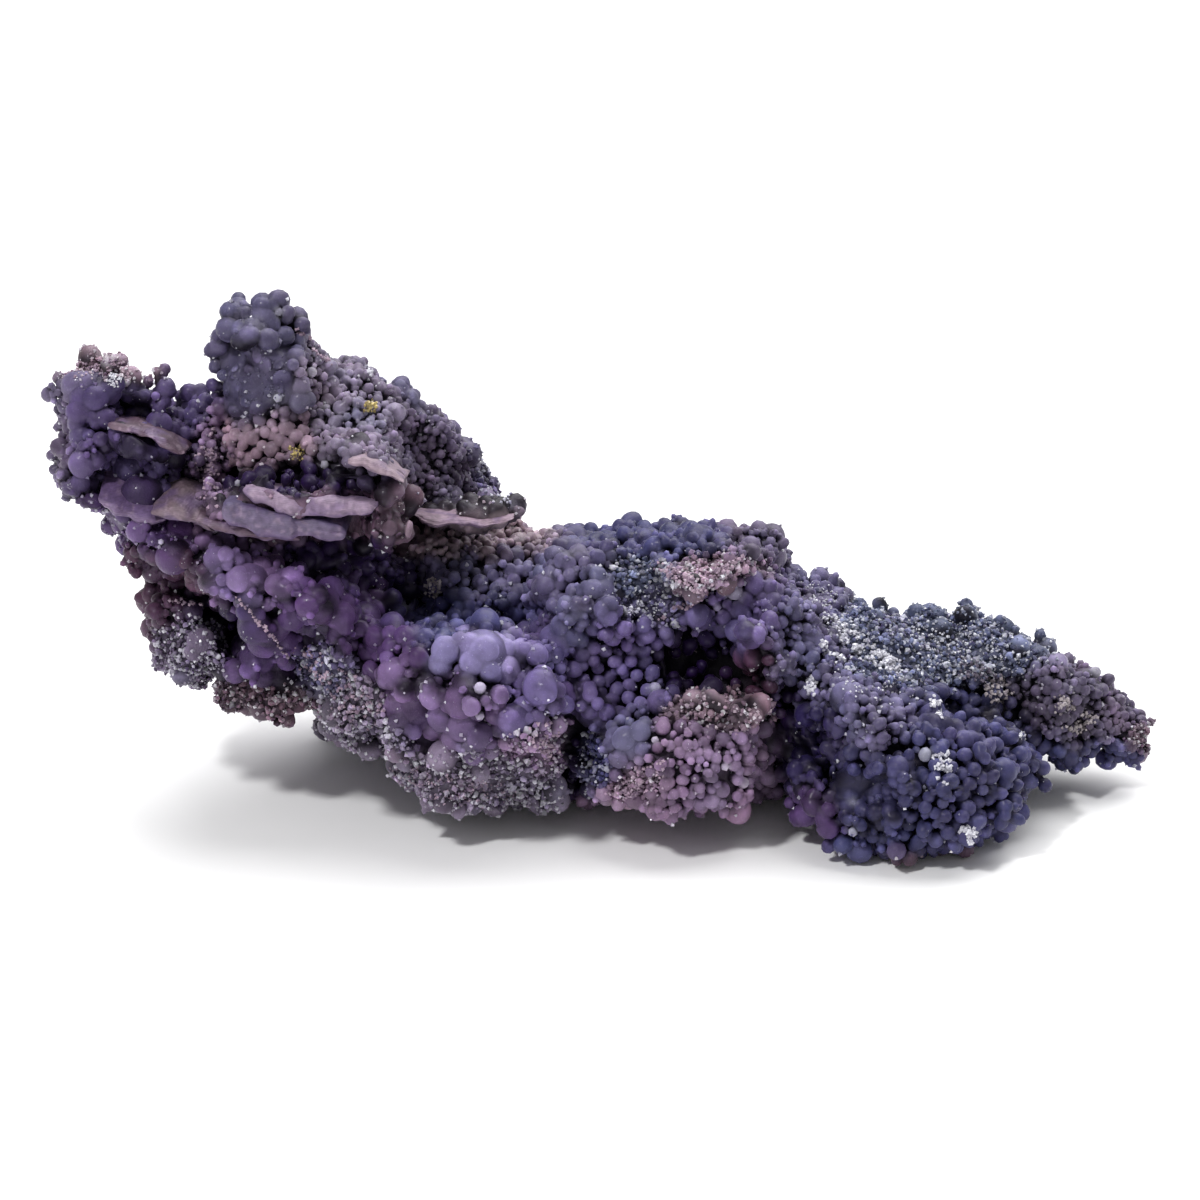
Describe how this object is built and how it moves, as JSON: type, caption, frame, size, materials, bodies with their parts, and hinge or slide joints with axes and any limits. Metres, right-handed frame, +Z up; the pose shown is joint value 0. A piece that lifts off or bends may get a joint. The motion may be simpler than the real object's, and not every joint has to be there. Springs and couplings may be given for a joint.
{
  "type": "grape agate specimen",
  "caption": "Long crust of violet botryoidal chalcedony whose grape-like balls cover a tall curled end, a hanging lobe and a low tapering end.",
  "frame": {"origin": "on the surface that the piece rests on, under the middle of its bounding box", "axes": "+X along the piece to its low tapering end, +Y away from its showy side, +Z up"},
  "size_m": [0.1794, 0.0764, 0.085],
  "materials": {
    "chalcedony": "waxy violet-grey chalcedony with sparkling druse, pale crust and brown-pink ledges"
  },
  "bodies": {
    "root": {"grape_agate": "chalcedony"}
  },
  "joints": []
}
